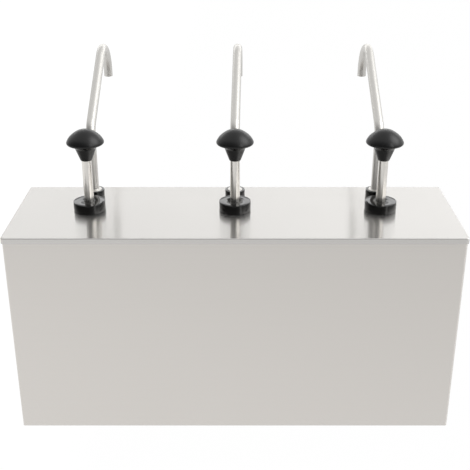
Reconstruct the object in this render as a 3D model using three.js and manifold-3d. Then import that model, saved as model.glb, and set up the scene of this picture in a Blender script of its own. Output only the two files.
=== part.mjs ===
// Sauce dispenser: a sheet steel housing with three lift-out pans, and a lid that carries three
// piston pumps with swan-neck spouts.
// Millimetres, +Z up. The origin is the centre of the housing's underside. The front faces -Y,
// and the spouts lean out over the back, +Y. Left and right are as seen from the front.
import * as THREE from 'three';
import { mergeVertices } from 'three/addons/utils/BufferGeometryUtils.js';
import Module from 'manifold-3d';

const wasm = await Module();
wasm.setup();

// General clearances
const seatGap = 0.3; // between two pieces that rest on or in each other
const overrun = 2; // how far a cutter runs past the face that it cuts

// Pans
const panWidth = 176;
const panDepth = 162;
const panHeight = 200;
const panSheet = 1;
const panRimWidth = 11;
const panRimCorner = 13;
const panMouthCorner = 24;
const panMouthRadius = 2.5;
const panDraft = 6; // how far each wall draws in from mouth to floor
const panFloorRadius = 9;
const panSpacing = 5.7;
const panFloorToTable = 62.3;

// Deck that the pans hang in
const deckSheet = 1;
const deckSideMargin = 2.1;
const deckFrontMargin = 2.4;
const deckCornerRadius = 2;
const deckHoleClearance = 1;

// Housing
const wallSheet = 1;
const housingCornerRadius = 2.5;
const housingLedge = 8; // inward fold at the top that carries the deck
const baseSheet = 1;
const baseRimHeight = 15;

// Lid
const lidSheet = 1;
const lidSkirt = 7;
const lidSkirtGap = 0.4;
const lidCornerRadius = 3.5;
const lidFoldRadius = 1.6;

// Pump axes
const riserSetBack = 43; // spout axis behind the pump axis
const riserInset = 22.6; // spout axis before the back edge of a pan's mouth

// Knob and plunger
const knobRadius = 22.8;
const knobHeight = 38.9;
const knobRise = 65.6; // underside of the knob's stem above the lid
const knobSocketDepth = 24;
const plungerRadius = 6;
const plungerWall = 1;
const stroke = 50;

// Pump cap and guide bush
const capRadius = 19.7;
const capHeight = 12;
const capRoof = 2.7;
const capEdge = 0.5;
const bushDrop = 7.5;

// Pump cylinder and its gasket
const cylinderBoreRadius = 14;
const cylinderWall = 2;
const cylinderFlangeRadius = 19;
const cylinderFlangeThickness = 3;
const neckRadius = 13;
const neckBoreRadius = 10;
const neckRise = 7;
const gasketThickness = 1.5;

// Piston and spring
const pistonGap = 0.5;
const pistonThickness = 9;
const pistonHubRadius = 9;
const pistonHubHeight = 6;
const pistonSocketFloor = 3;
const sealGap = 0.25;
const sealDepth = 1.5;
const sealHeight = 3;
const springRadius = 11;
const springWireRadius = 0.9;
const springClosedPitch = 2.4;
const springPressedLength = 22;
const springTurns = 8;
const springClosedTurns = 1; // at each end

// Valve body and inlet
const footClearance = 6; // below the inlet, to the pan's floor
const bodyRadius = 20;
const bodySocketDepth = 10;
const throatRadius = 6;
const throatLength = 6;
const inletFlangeRadius = 15;
const inletFlangeThickness = 3;
const inletPlugRadius = 10;
const inletPlugLength = 7;
const inletBoreRadius = 5;
const inletConeDepth = 2;
const inletBallRadius = 7;
const inletChamberRadius = 8.6;
const inletChamberHeight = 18;

// Outlet
const channelRadius = 3.5;
const channelDrop = 10; // channel axis below the inlet chamber's roof
const outletBossRadius = 12;
const outletBossWall = 6;
const outletArmWidth = 17;
const outletSeatRise = 6; // valve seat above the channel axis
const outletSeatRadius = 3.6;
const outletBallRadius = 5.3;
const outletChamberHeight = 13.5;
const riserSocketDepth = 10;
const outletNeckRadius = 10.5;
const outletNeckRise = 4;
const outletFlangeRadius = 14;
const outletFlangeThickness = 3;
const outletBushRadius = 9;
const outletBushDrop = 16;
const outletBushStop = 4; // top of the riser's socket below the lid's top

// Spout and its nut
const tubeRadius = 6;
const tubeWall = 1;
const nutRadius = 12.7;
const nutHeight = 11;
const nutEdge = 0.8;
const collarFlangeRadius = 10.5;
const collarFlangeThickness = 2;
const collarRadius = 9.6;
const collarTop = 11.8;
const collarEdge = 1;
const spoutCornerRise = 91.2; // where the riser's axis meets the arm's axis, above the lid
const spoutReach = 181.8;
const spoutSlope = THREE.MathUtils.degToRad(29.3);
const spoutBendRadius = 22;
const spoutHookRadius = 42.5;
const nozzleLength = 5.2;
const spoutTurns = [0, THREE.MathUtils.degToRad(-1.5), 0];

// Facets
const cornerSteps = 3;
const visibleSides = 20;
const hiddenSides = 14;
const tubeSides = 12;
const bendSteps = 4;
const hookSteps = 9;
const springSteps = 8;
const springSides = 5;
const ballSides = 8;
const ballBands = 6;

// Knob outline from its stem's underside to its crown: shares of its radius and of its height
const knobOutlineShares = [
  [0.312, 0], [0.33, 0.03], [0.548, 0.37], [0.59, 0.412], [0.69, 0.464], [0.84, 0.508],
  [0.955, 0.534], [1, 0.576], [0.977, 0.635], [0.88, 0.728], [0.752, 0.808], [0.59, 0.884],
  [0.392, 0.952], [0.197, 0.989], [0, 1],
];

// Plan sizes that follow from the pans
const pumpPitch = panWidth + panSpacing;
const pumpNames = ['left', 'centre', 'right'];
const deckWidth = (pumpNames.length - 1) * pumpPitch + panWidth + 2 * deckSideMargin;
const deckDepth = panDepth + 2 * deckFrontMargin;
const lidWidth = deckWidth + 2 * (lidSkirtGap + lidSheet);
const lidDepth = deckDepth + 2 * (lidSkirtGap + lidSheet);
const mouthWidth = panWidth - 2 * panRimWidth;
const mouthDepth = panDepth - 2 * panRimWidth;
const pumpSetBack = mouthDepth / 2 - riserInset - riserSetBack; // pump axis behind the lid's middle

// Heights above the table
const panRimTop = panFloorToTable + panHeight;
const deckTop = panRimTop - panSheet - seatGap;
const housingHeight = deckTop - deckSheet - seatGap;
const lidTop = panRimTop + seatGap + lidSheet;

// Heights on a pump, from the lid's top face
const panFloor = panFloorToTable + panSheet - lidTop;
const inletFoot = panFloor + footClearance;
const bodyBottom = inletFoot + inletFlangeThickness + seatGap;
const inletSeatTop = bodyBottom + inletPlugLength;
const chamberRoof = inletSeatTop + inletChamberHeight;
const socketFloor = chamberRoof + throatLength;
const bodyTop = socketFloor + bodySocketDepth;
const channelAxis = chamberRoof - channelDrop;
const outletSeat = channelAxis + outletSeatRise;
const riserBottom = outletSeat + outletChamberHeight;
const springBottom = socketFloor + seatGap;
const pistonBottom = springBottom + springPressedLength + stroke + seatGap;
const pistonTop = pistonBottom + pistonThickness;
const pistonSocket = pistonBottom + pistonSocketFloor;
const collarBottom = outletNeckRise + seatGap;

// Materials
function material(color, roughness, metalness) {
  return new THREE.MeshStandardMaterial({ color, roughness, metalness });
}

const sheetSteel = material(0xd2d0cd, 0.38, 1);
const panSteel = material(0xbdbcba, 0.45, 1);
const tubeSteel = material(0xcfcfce, 0.16, 1);
const springSteel = material(0x9d9c99, 0.35, 1);
const glossBlack = material(0x121214, 0.12, 0);
const satinBlack = material(0x1b1b1d, 0.42, 0);
const whitePlastic = material(0xe6e5e0, 0.5, 0);
const sealRubber = material(0x26272a, 0.8, 0);

// Removes the flat triangles that a pole or a seam leaves, so the body is closed
function closedGeometry(geometry) {
  geometry.deleteAttribute('normal');
  geometry.deleteAttribute('uv');
  const merged = mergeVertices(geometry);
  const kept = [];
  const index = merged.getIndex().array;
  for (let i = 0; i < index.length; i += 3) {
    const [a, b, c] = index.slice(i, i + 3);
    if (a !== b && b !== c && a !== c) kept.push(a, b, c);
  }
  merged.setIndex(kept);
  return merged;
}

// Body through rings of equally many points, in the order bottom to top on an outer wall.
// An open stack is capped flat at both ends, and a looped one joins its last ring to its first.
function loft(rings, looped = false) {
  const size = rings[0].length;
  const index = [];
  const spans = looped ? rings.length : rings.length - 1;
  for (let span = 0; span < spans; span += 1) {
    const low = span * size;
    const high = ((span + 1) % rings.length) * size;
    for (let i = 0; i < size; i += 1) {
      const j = (i + 1) % size;
      index.push(low + i, low + j, high + j, low + i, high + j, high + i);
    }
  }
  const last = (rings.length - 1) * size;
  for (let i = 1; !looped && i < size - 1; i += 1) {
    index.push(0, i + 1, i, last, last + i, last + i + 1);
  }
  const geometry = new THREE.BufferGeometry().setFromPoints(rings.flat());
  geometry.setIndex(index);
  return geometry;
}

function roundedOutline(width, depth, radius) {
  const points = [];
  for (let corner = 0; corner < 4; corner += 1) {
    const sideX = corner === 0 || corner === 3 ? 1 : -1;
    const sideY = corner < 2 ? 1 : -1;
    for (let step = 0; step <= cornerSteps; step += 1) {
      const angle = (corner + step / cornerSteps) * Math.PI / 2;
      const x = sideX * (width / 2 - radius) + radius * Math.cos(angle);
      const y = sideY * (depth / 2 - radius) + radius * Math.sin(angle);
      points.push(new THREE.Vector2(x, y));
    }
  }
  return points;
}

// Rounded rectangle at height z, drawn in by inset on every side
function plateRing(width, depth, radius, z, inset = 0) {
  const outline = roundedOutline(width - 2 * inset, depth - 2 * inset, radius - inset);
  return outline.map((point) => new THREE.Vector3(point.x, point.y, z));
}

// Turned body about Z through [radius, height] points: outer wall upwards, inner wall downwards
function turned(outline, sides, looped = false) {
  const points = outline.map(([radius, height]) => new THREE.Vector2(radius, height));
  if (looped) points.push(points[0].clone());
  return closedGeometry(new THREE.LatheGeometry(points, sides).rotateX(Math.PI / 2));
}

function sleeve(innerRadius, outerRadius, bottom, top, sides) {
  return turned([
    [innerRadius, bottom], [outerRadius, bottom], [outerRadius, top], [innerRadius, top],
  ], sides, true);
}

function rod(radius, bottom, top, sides) {
  return turned([[0, bottom], [radius, bottom], [radius, top], [0, top]], sides);
}

function block(width, depth, height, x, y, z) {
  return closedGeometry(new THREE.BoxGeometry(width, depth, height).translate(x, y, z));
}

function toSolid(geometry) {
  const vertProperties = new Float32Array(geometry.getAttribute('position').array);
  const triVerts = new Uint32Array(geometry.getIndex().array);
  return new wasm.Manifold(new wasm.Mesh({ numProp: 3, vertProperties, triVerts }));
}

function fromSolid(solid) {
  const mesh = solid.getMesh();
  const geometry = new THREE.BufferGeometry();
  geometry.setAttribute('position', new THREE.BufferAttribute(mesh.vertProperties, mesh.numProp));
  geometry.setIndex(new THREE.BufferAttribute(mesh.triVerts, 1));
  return geometry;
}

// Joins the first list of bodies into one and cuts the second list out of it
function carved(bodies, cutters) {
  const joined = bodies.map(toSolid).reduce((whole, body) => whole.add(body));
  return fromSolid(cutters.map(toSolid).reduce((whole, cutter) => whole.subtract(cutter), joined));
}

function pumpX(slot) {
  return (slot - (pumpNames.length - 1) / 2) * pumpPitch;
}

// Pan: drawn bowl with a flat rim, its underside at z = 0
function panGeometry() {
  const floorWidth = mouthWidth - 2 * panDraft;
  const floorDepth = mouthDepth - 2 * panDraft;
  const outer = (inset, z) => plateRing(
    floorWidth + 2 * panSheet, floorDepth + 2 * panSheet, panMouthCorner + panSheet, z, inset);
  const inner = (inset, z) => plateRing(floorWidth, floorDepth, panMouthCorner, z, inset);
  const fillet = panFloorRadius * (1 - Math.SQRT1_2);
  const rimUnderside = panHeight - panSheet;
  return loft([
    outer(panFloorRadius, 0),
    outer(fillet, fillet),
    outer(0, panFloorRadius),
    plateRing(
      mouthWidth + 2 * panSheet, mouthDepth + 2 * panSheet, panMouthCorner + panSheet, rimUnderside),
    plateRing(panWidth, panDepth, panRimCorner, rimUnderside),
    plateRing(panWidth, panDepth, panRimCorner, panHeight),
    plateRing(mouthWidth, mouthDepth, panMouthCorner, panHeight, -panMouthRadius),
    plateRing(mouthWidth, mouthDepth, panMouthCorner, panHeight - panMouthRadius),
    inner(0, panFloorRadius),
    inner(fillet, panSheet + fillet),
    inner(panFloorRadius, panSheet),
  ]);
}

// Four folded walls with an inward ledge along the top
function housingShell() {
  const outer = (z) => plateRing(deckWidth, deckDepth, housingCornerRadius, z);
  const inner = (z) => plateRing(deckWidth, deckDepth, housingCornerRadius, z, wallSheet);
  const ledgeWidth = deckWidth - 2 * (wallSheet + housingLedge);
  const ledgeDepth = deckDepth - 2 * (wallSheet + housingLedge);
  const ledge = (z) => plateRing(ledgeWidth, ledgeDepth, housingCornerRadius, z);
  const ledgeUnderside = housingHeight - wallSheet;
  return loft([
    outer(0), outer(housingHeight), ledge(housingHeight), ledge(ledgeUnderside),
    inner(ledgeUnderside), inner(0),
  ], true);
}

// Shallow tray welded between the walls, its underside on the table
function housingBase() {
  const inset = wallSheet + seatGap;
  const width = deckWidth - 2 * inset;
  const depth = deckDepth - 2 * inset;
  const outer = (z) => plateRing(width, depth, housingCornerRadius, z);
  const inner = (z) => plateRing(width, depth, housingCornerRadius, z, baseSheet);
  return loft([outer(0), outer(baseRimHeight), inner(baseRimHeight), inner(baseSheet)]);
}

// Flat plate with one opening for each pan, its underside at z = 0
function deckPlate() {
  const plate = new THREE.Shape(roundedOutline(deckWidth, deckDepth, deckCornerRadius));
  const holeGrowth = 2 * (panSheet + deckHoleClearance);
  pumpNames.forEach((name, slot) => {
    const outline = roundedOutline(
      mouthWidth + holeGrowth, mouthDepth + holeGrowth, panMouthCorner + holeGrowth / 2);
    plate.holes.push(new THREE.Path(outline.map((point) => point.setX(point.x + pumpX(slot)))));
  });
  return closedGeometry(new THREE.ExtrudeGeometry(plate, { depth: deckSheet, bevelEnabled: false }));
}

// Lid plate with its folded skirt, the top face at z = 0, with a hole for each cap and each nut
function lidPlate() {
  const fold = lidFoldRadius * (1 - Math.SQRT1_2);
  const innerFold = lidFoldRadius - lidSheet;
  const outer = (inset, z) => plateRing(lidWidth, lidDepth, lidCornerRadius, z, inset);
  const inner = (inset, z) => outer(lidSheet + inset, z);
  const tray = loft([
    inner(innerFold, -lidSheet),
    inner(0, -lidFoldRadius),
    inner(0, -lidSkirt),
    outer(0, -lidSkirt),
    outer(0, -lidFoldRadius),
    outer(fold, -fold),
    outer(lidFoldRadius, 0),
  ]);
  const holes = pumpNames.flatMap((name, slot) => {
    const cut = (radius, y) => rod(radius + seatGap, -lidSheet - overrun, overrun, hiddenSides)
      .translate(pumpX(slot), y, 0);
    return [cut(neckRadius, pumpSetBack), cut(outletNeckRadius, pumpSetBack + riserSetBack)];
  });
  return carved([tray], holes);
}

function knob() {
  const socketTop = knobRise + knobSocketDepth;
  const socketRadius = plungerRadius + seatGap;
  const socket = [[0, socketTop], [socketRadius, socketTop], [socketRadius, knobRise]];
  const outline = knobOutlineShares.map(
    ([across, up]) => [across * knobRadius, knobRise + up * knobHeight]);
  return turned([...socket, ...outline], visibleSides);
}

function plungerTube() {
  const bottom = pistonSocket + seatGap;
  const top = knobRise + knobSocketDepth - seatGap;
  return sleeve(plungerRadius - plungerWall, plungerRadius, bottom, top, tubeSides);
}

function piston() {
  const radius = cylinderBoreRadius - pistonGap;
  const grooveRadius = radius - sealDepth;
  const grooveBottom = pistonBottom + (pistonThickness - sealHeight) / 2 - seatGap;
  const grooveTop = grooveBottom + sealHeight + 2 * seatGap;
  const socketRadius = plungerRadius + seatGap;
  return turned([
    [0, pistonBottom], [radius, pistonBottom], [radius, grooveBottom], [grooveRadius, grooveBottom],
    [grooveRadius, grooveTop], [radius, grooveTop], [radius, pistonTop], [pistonHubRadius, pistonTop],
    [pistonHubRadius, pistonTop + pistonHubHeight], [socketRadius, pistonTop + pistonHubHeight],
    [socketRadius, pistonSocket], [0, pistonSocket],
  ], hiddenSides);
}

function pistonSeal() {
  const innerRadius = cylinderBoreRadius - pistonGap - sealDepth + seatGap;
  const bottom = pistonBottom + (pistonThickness - sealHeight) / 2;
  return sleeve(innerRadius, cylinderBoreRadius - sealGap, bottom, bottom + sealHeight, hiddenSides);
}

function pumpCap() {
  const bore = neckRadius + seatGap;
  const hole = plungerRadius + seatGap;
  const roof = capHeight - capRoof;
  return turned([
    [bore, seatGap], [capRadius, seatGap], [capRadius, capHeight - capEdge],
    [capRadius - capEdge, capHeight], [hole, capHeight], [hole, roof], [bore, roof],
  ], visibleSides, true);
}

function guideBush() {
  const bore = plungerRadius + seatGap;
  const body = neckBoreRadius - seatGap;
  const shoulder = neckRise + seatGap;
  const flangeTop = capHeight - capRoof - seatGap;
  return turned([
    [bore, -bushDrop], [body, -bushDrop], [body, shoulder], [neckRadius, shoulder],
    [neckRadius, flangeTop], [bore, flangeTop],
  ], hiddenSides, true);
}

function capGasket() {
  const top = -lidSheet - seatGap;
  return sleeve(neckRadius + seatGap, cylinderFlangeRadius, top - gasketThickness, top, hiddenSides);
}

function pumpCylinder() {
  const outer = cylinderBoreRadius + cylinderWall;
  const flangeTop = -lidSheet - gasketThickness - 2 * seatGap;
  const flangeBottom = flangeTop - cylinderFlangeThickness;
  const shoulder = flangeBottom - cylinderWall;
  return turned([
    [cylinderBoreRadius, socketFloor + seatGap], [outer, socketFloor + seatGap], [outer, flangeBottom],
    [cylinderFlangeRadius, flangeBottom], [cylinderFlangeRadius, flangeTop], [neckRadius, flangeTop],
    [neckRadius, neckRise], [neckBoreRadius, neckRise], [neckBoreRadius, shoulder],
    [cylinderBoreRadius, shoulder],
  ], hiddenSides, true);
}

// Height of the spring's centreline after a number of turns: closed at both ends, open between
function springHeight(turns) {
  const bottom = springBottom + springWireRadius;
  const length = springPressedLength + stroke - 2 * springWireRadius;
  const closed = springClosedTurns * springClosedPitch;
  const openTurns = springTurns - 2 * springClosedTurns;
  const openPitch = (length - 2 * closed) / openTurns;
  const low = Math.min(turns, springClosedTurns);
  const high = Math.max(turns - springTurns + springClosedTurns, 0);
  return bottom + (low + high) * springClosedPitch + (turns - low - high) * openPitch;
}

function springPoint(turns, acrossWire, upWire) {
  const angle = 2 * Math.PI * turns;
  const radius = springRadius + acrossWire;
  const z = springHeight(turns) + upWire;
  return new THREE.Vector3(radius * Math.cos(angle), radius * Math.sin(angle), z);
}

function returnSpring() {
  const rings = [];
  for (let step = 0; step <= springTurns * springSteps; step += 1) {
    const ring = [];
    for (let side = 0; side < springSides; side += 1) {
      const angle = -2 * Math.PI * side / springSides;
      const across = springWireRadius * Math.cos(angle);
      ring.push(springPoint(step / springSteps, across, springWireRadius * Math.sin(angle)));
    }
    rings.push(ring);
  }
  return loft(rings);
}

// Least gap between neighbouring turns of a spring, measured on its centreline's points
function springLeastGap() {
  const gaps = [];
  for (let step = 0; step <= (springTurns - 1) * springSteps; step += 1) {
    const here = springPoint(step / springSteps, 0, 0);
    gaps.push(here.distanceTo(springPoint(step / springSteps + 1, 0, 0)) - 2 * springWireRadius);
  }
  return Math.min(...gaps);
}

// Valve body: socket for the cylinder, ball chamber, and an arm to the outlet's boss
function valveBody() {
  const bossBottom = channelAxis - channelRadius - outletBossWall;
  const armTop = channelAxis + channelRadius + outletBossWall;
  const socketRadius = cylinderBoreRadius + cylinderWall + seatGap;
  const chamberFloor = inletSeatTop + seatGap;
  const outletBore = tubeRadius + seatGap;
  const atRiser = (geometry) => geometry.translate(0, riserSetBack, 0);
  const arm = block(
    outletArmWidth, riserSetBack, armTop - bossBottom, 0, riserSetBack / 2, (armTop + bossBottom) / 2);
  const channel = rod(channelRadius, 0, riserSetBack, tubeSides)
    .rotateX(-Math.PI / 2).translate(0, 0, channelAxis);
  return carved([
    rod(bodyRadius, bodyBottom, bodyTop, hiddenSides),
    arm,
    atRiser(rod(outletBossRadius, bossBottom, riserBottom + riserSocketDepth, hiddenSides)),
  ], [
    rod(inletPlugRadius + seatGap, bodyBottom - overrun, chamberFloor, hiddenSides),
    rod(inletChamberRadius, chamberFloor - overrun, chamberRoof, tubeSides),
    rod(throatRadius, chamberRoof - overrun, socketFloor + overrun, tubeSides),
    rod(socketRadius, socketFloor, bodyTop + overrun, hiddenSides),
    channel,
    atRiser(rod(outletSeatRadius, channelAxis, outletSeat + overrun, tubeSides)),
    atRiser(rod(outletBore, outletSeat, riserBottom + riserSocketDepth + overrun, tubeSides)),
  ]);
}

function inletSeat() {
  const flangeTop = inletFoot + inletFlangeThickness;
  return turned([
    [inletBoreRadius, inletFoot], [inletFlangeRadius, inletFoot], [inletFlangeRadius, flangeTop],
    [inletPlugRadius, flangeTop], [inletPlugRadius, inletSeatTop],
    [inletBoreRadius + inletConeDepth, inletSeatTop], [inletBoreRadius, inletSeatTop - inletConeDepth],
  ], tubeSides, true);
}

// Ball that rests on the round edge of its seat
function ball(radius, seatRadius, seatZ) {
  const centre = seatZ + Math.sqrt(radius ** 2 - seatRadius ** 2) + seatGap;
  const sphere = new THREE.SphereGeometry(radius, ballSides, ballBands);
  return closedGeometry(sphere.rotateX(Math.PI / 2).translate(0, 0, centre));
}

function riserTube() {
  return sleeve(tubeRadius - tubeWall, tubeRadius, riserBottom, -outletBushStop - seatGap, tubeSides);
}

function outletNeck() {
  const flangeTop = -lidSheet - seatGap;
  const flangeBottom = flangeTop - outletFlangeThickness;
  const socket = tubeRadius + seatGap;
  const bore = tubeRadius - tubeWall;
  return turned([
    [socket, -outletBushDrop], [outletBushRadius, -outletBushDrop], [outletBushRadius, flangeBottom],
    [outletFlangeRadius, flangeBottom], [outletFlangeRadius, flangeTop], [outletNeckRadius, flangeTop],
    [outletNeckRadius, outletNeckRise], [bore, outletNeckRise], [bore, -outletBushStop],
    [socket, -outletBushStop],
  ], tubeSides, true);
}

function spoutNut() {
  const bore = outletNeckRadius + seatGap;
  const hole = collarRadius + seatGap;
  const roof = collarBottom + collarFlangeThickness + seatGap;
  return turned([
    [bore, seatGap], [nutRadius, seatGap], [nutRadius, nutHeight - nutEdge],
    [nutRadius - nutEdge, nutHeight], [hole, nutHeight], [hole, roof], [bore, roof],
  ], visibleSides, true);
}

// Stations { y, z, heading } on the spout's axis, in its own upright plane: the bend, the arm
// that leans back, and the hook that turns down to the nozzle
function spoutAxis() {
  const arc = (centreY, centreZ, radius, from, to, steps) => {
    const stations = [];
    for (let step = 0; step <= steps; step += 1) {
      const heading = from + (to - from) * step / steps;
      const y = centreY - radius * Math.sin(heading);
      stations.push({ y, z: centreZ + radius * Math.cos(heading), heading });
    }
    return stations;
  };
  const up = Math.PI / 2;
  const bendZ = spoutCornerRise - spoutBendRadius * Math.tan((up - spoutSlope) / 2);
  const hookY = spoutReach - spoutHookRadius;
  const hookStartY = hookY - spoutHookRadius * Math.sin(spoutSlope);
  const hookStartZ = spoutCornerRise + hookStartY * Math.tan(spoutSlope);
  const hookZ = hookStartZ - spoutHookRadius * Math.cos(spoutSlope);
  return [
    ...arc(spoutBendRadius, bendZ, spoutBendRadius, up, spoutSlope, bendSteps),
    ...arc(hookY, hookZ, spoutHookRadius, spoutSlope, -up, hookSteps),
    { y: spoutReach, z: hookZ - nozzleLength, heading: -up },
  ];
}

function stationRing(station, radius) {
  const ring = [];
  for (let side = 0; side < tubeSides; side += 1) {
    const angle = 2 * Math.PI * side / tubeSides;
    const across = radius * Math.sin(angle);
    const y = station.y + across * Math.sin(station.heading);
    const z = station.z - across * Math.cos(station.heading);
    ring.push(new THREE.Vector3(radius * Math.cos(angle), y, z));
  }
  return ring;
}

// One welded piece: the collar that the nut holds, and the bent tube with its bore
function spoutTube() {
  const upright = (z) => ({ y: 0, z, heading: Math.PI / 2 });
  const flangeTop = collarBottom + collarFlangeThickness;
  const collar = [
    [collarFlangeRadius, collarBottom], [collarFlangeRadius, flangeTop], [collarRadius, flangeTop],
    [collarRadius, collarTop - collarEdge], [collarRadius - collarEdge, collarTop],
    [tubeRadius, collarTop],
  ].map(([radius, z]) => stationRing(upright(z), radius));
  const axis = spoutAxis();
  const outside = axis.map((station) => stationRing(station, tubeRadius));
  const inside = [upright(collarBottom), ...axis].reverse()
    .map((station) => stationRing(station, tubeRadius - tubeWall));
  return loft([...collar, ...outside, ...inside], true);
}

function piece(parent, name, geometry, look) {
  const mesh = new THREE.Mesh(geometry, look);
  mesh.name = name;
  parent.add(mesh);
  return mesh;
}

function addPump(parent, name, slot) {
  const pump = new THREE.Group();
  pump.position.set(pumpX(slot), pumpSetBack, lidTop);
  parent.add(pump);
  piece(pump, `knob_${name}`, knob(), satinBlack);
  piece(pump, `plunger_tube_${name}`, plungerTube(), tubeSteel);
  piece(pump, `piston_${name}`, piston(), whitePlastic);
  piece(pump, `piston_seal_${name}`, pistonSeal(), sealRubber);
  piece(pump, `pump_cap_${name}`, pumpCap(), glossBlack);
  piece(pump, `guide_bush_${name}`, guideBush(), glossBlack);
  piece(pump, `cap_gasket_${name}`, capGasket(), sealRubber);
  piece(pump, `pump_cylinder_${name}`, pumpCylinder(), panSteel);
  piece(pump, `return_spring_${name}`, returnSpring(), springSteel);
  piece(pump, `valve_body_${name}`, valveBody(), whitePlastic);
  piece(pump, `inlet_seat_${name}`, inletSeat(), whitePlastic);
  const inletEdge = inletSeatTop - inletConeDepth;
  piece(pump, `inlet_ball_${name}`, ball(inletBallRadius, inletBoreRadius, inletEdge), tubeSteel);

  const riser = new THREE.Group();
  riser.position.y = riserSetBack;
  pump.add(riser);
  piece(riser, `outlet_ball_${name}`, ball(outletBallRadius, outletSeatRadius, outletSeat), tubeSteel);
  piece(riser, `riser_tube_${name}`, riserTube(), tubeSteel);
  piece(riser, `outlet_neck_${name}`, outletNeck(), panSteel);
  piece(riser, `spout_nut_${name}`, spoutNut(), glossBlack);
  piece(riser, `spout_${name}`, spoutTube(), tubeSteel).rotation.z = spoutTurns[slot];
}

const dispenser = new THREE.Group();
piece(dispenser, 'housing_shell', housingShell(), sheetSteel);
piece(dispenser, 'housing_base', housingBase(), sheetSteel);
piece(dispenser, 'pan_deck', deckPlate(), sheetSteel).position.z = deckTop - deckSheet;
piece(dispenser, 'lid', lidPlate(), sheetSteel).position.z = lidTop;
pumpNames.forEach((name, slot) => {
  const pan = piece(dispenser, `pan_${name}`, panGeometry(), panSteel);
  pan.position.set(pumpX(slot), 0, panFloorToTable);
  addPump(dispenser, name, slot);
});
console.log(`least gap between spring turns: ${springLeastGap().toFixed(2)} mm`);

export default dispenser;
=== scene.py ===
# Sauce dispenser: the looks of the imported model.
# Metres, +Z up, front towards -Y. The sizes of the pieces are in millimetres, as in the CAD source.
import math

import bmesh
import bpy
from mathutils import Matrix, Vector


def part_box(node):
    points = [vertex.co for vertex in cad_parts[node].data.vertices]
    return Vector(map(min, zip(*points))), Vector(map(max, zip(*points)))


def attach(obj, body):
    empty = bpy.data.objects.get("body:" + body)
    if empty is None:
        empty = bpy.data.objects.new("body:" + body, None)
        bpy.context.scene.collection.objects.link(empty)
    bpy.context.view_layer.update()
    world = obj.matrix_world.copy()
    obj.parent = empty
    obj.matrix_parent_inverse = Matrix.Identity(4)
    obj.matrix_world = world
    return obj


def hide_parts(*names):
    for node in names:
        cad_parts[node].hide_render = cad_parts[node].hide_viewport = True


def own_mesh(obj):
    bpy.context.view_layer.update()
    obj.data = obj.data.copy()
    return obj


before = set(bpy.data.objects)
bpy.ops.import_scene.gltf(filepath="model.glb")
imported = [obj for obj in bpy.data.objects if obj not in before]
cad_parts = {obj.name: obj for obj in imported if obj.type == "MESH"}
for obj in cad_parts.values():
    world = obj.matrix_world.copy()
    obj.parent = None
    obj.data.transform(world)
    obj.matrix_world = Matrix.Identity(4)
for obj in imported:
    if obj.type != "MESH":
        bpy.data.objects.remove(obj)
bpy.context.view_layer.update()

MM = 0.001
PUMPS = ("left", "centre", "right")

# Places taken from the CAD nodes
cap_low, cap_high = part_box("pump_cap_centre")
nut_low, nut_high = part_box("spout_nut_centre")
lid_low, lid_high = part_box("lid")
shell_low, shell_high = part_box("housing_shell")
pan_low, pan_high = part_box("pan_centre")
spring_low, spring_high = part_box("return_spring_centre")
LID_TOP = lid_high.z
PUMP_Y = (cap_low.y + cap_high.y) / 2
RISER_Y = (nut_low.y + nut_high.y) / 2
PUMP_X = {}
for pump in PUMPS:
    low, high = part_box("pump_cap_" + pump)
    PUMP_X[pump] = (low.x + high.x) / 2

# Facets of the finished pieces
ROUND_SIDES = 72
TUBE_SIDES = 48
CORNER_STEPS = 8
FOLD_STEPS = 4
SMOOTH_ANGLE = math.radians(32)

# In metres: vertices this close are joined, and a vertex this near a place counts as being there
WELD_DISTANCE = 2e-6
NEAR = 2e-5


# Camera: where the photograph was taken from
CAMERA_PLACE = (0.0, -1.0027, 0.6758)
CAMERA_TILT = math.radians(66.06)
SENSOR_WIDTH = 36
LENS = 66.47


def add_camera():
    bpy.ops.object.camera_add(location=CAMERA_PLACE, rotation=(CAMERA_TILT, 0, 0))
    camera = bpy.context.object
    camera.data.sensor_width = SENSOR_WIDTH
    camera.data.lens = LENS
    bpy.context.scene.camera = camera


# Materials
def linear(colour):
    """sRGB hex to the linear colour that a shader takes, by the sRGB standard's curve"""
    channels = []
    for start in (1, 3, 5):
        share = int(colour[start:start + 2], 16) / 255
        channels.append(share / 12.92 if share <= 0.04045 else ((share + 0.055) / 1.055) ** 2.4)
    return (*channels, 1.0)


def add_node(material, kind, settings=None, inputs=None, links=None):
    """Adds a node, sets its properties and input values, and links inputs to other nodes' outputs"""
    node = material.node_tree.nodes.new(kind)
    for name, value in (settings or {}).items():
        setattr(node, name, value)
    for name, value in (inputs or {}).items():
        node.inputs[name].default_value = value
    for name, (source, output) in (links or {}).items():
        material.node_tree.links.new(source.outputs[output], node.inputs[name])
    return node


def new_material(name):
    material = bpy.data.materials.new(name)
    material.use_nodes = True
    material.node_tree.nodes.clear()
    return material


# Every grain has broad clouds mixed into it. Its noise stays mostly between the low and the high value.
GRAIN_DETAIL = 4.0
GRAIN_FALLOFF = 0.55
GRAIN_LOW = 0.3
GRAIN_HIGH = 0.7
CLOUD_SIZE = 70
CLOUD_DETAIL = 3.0
CLOUD_SHARE = 0.35


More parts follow.
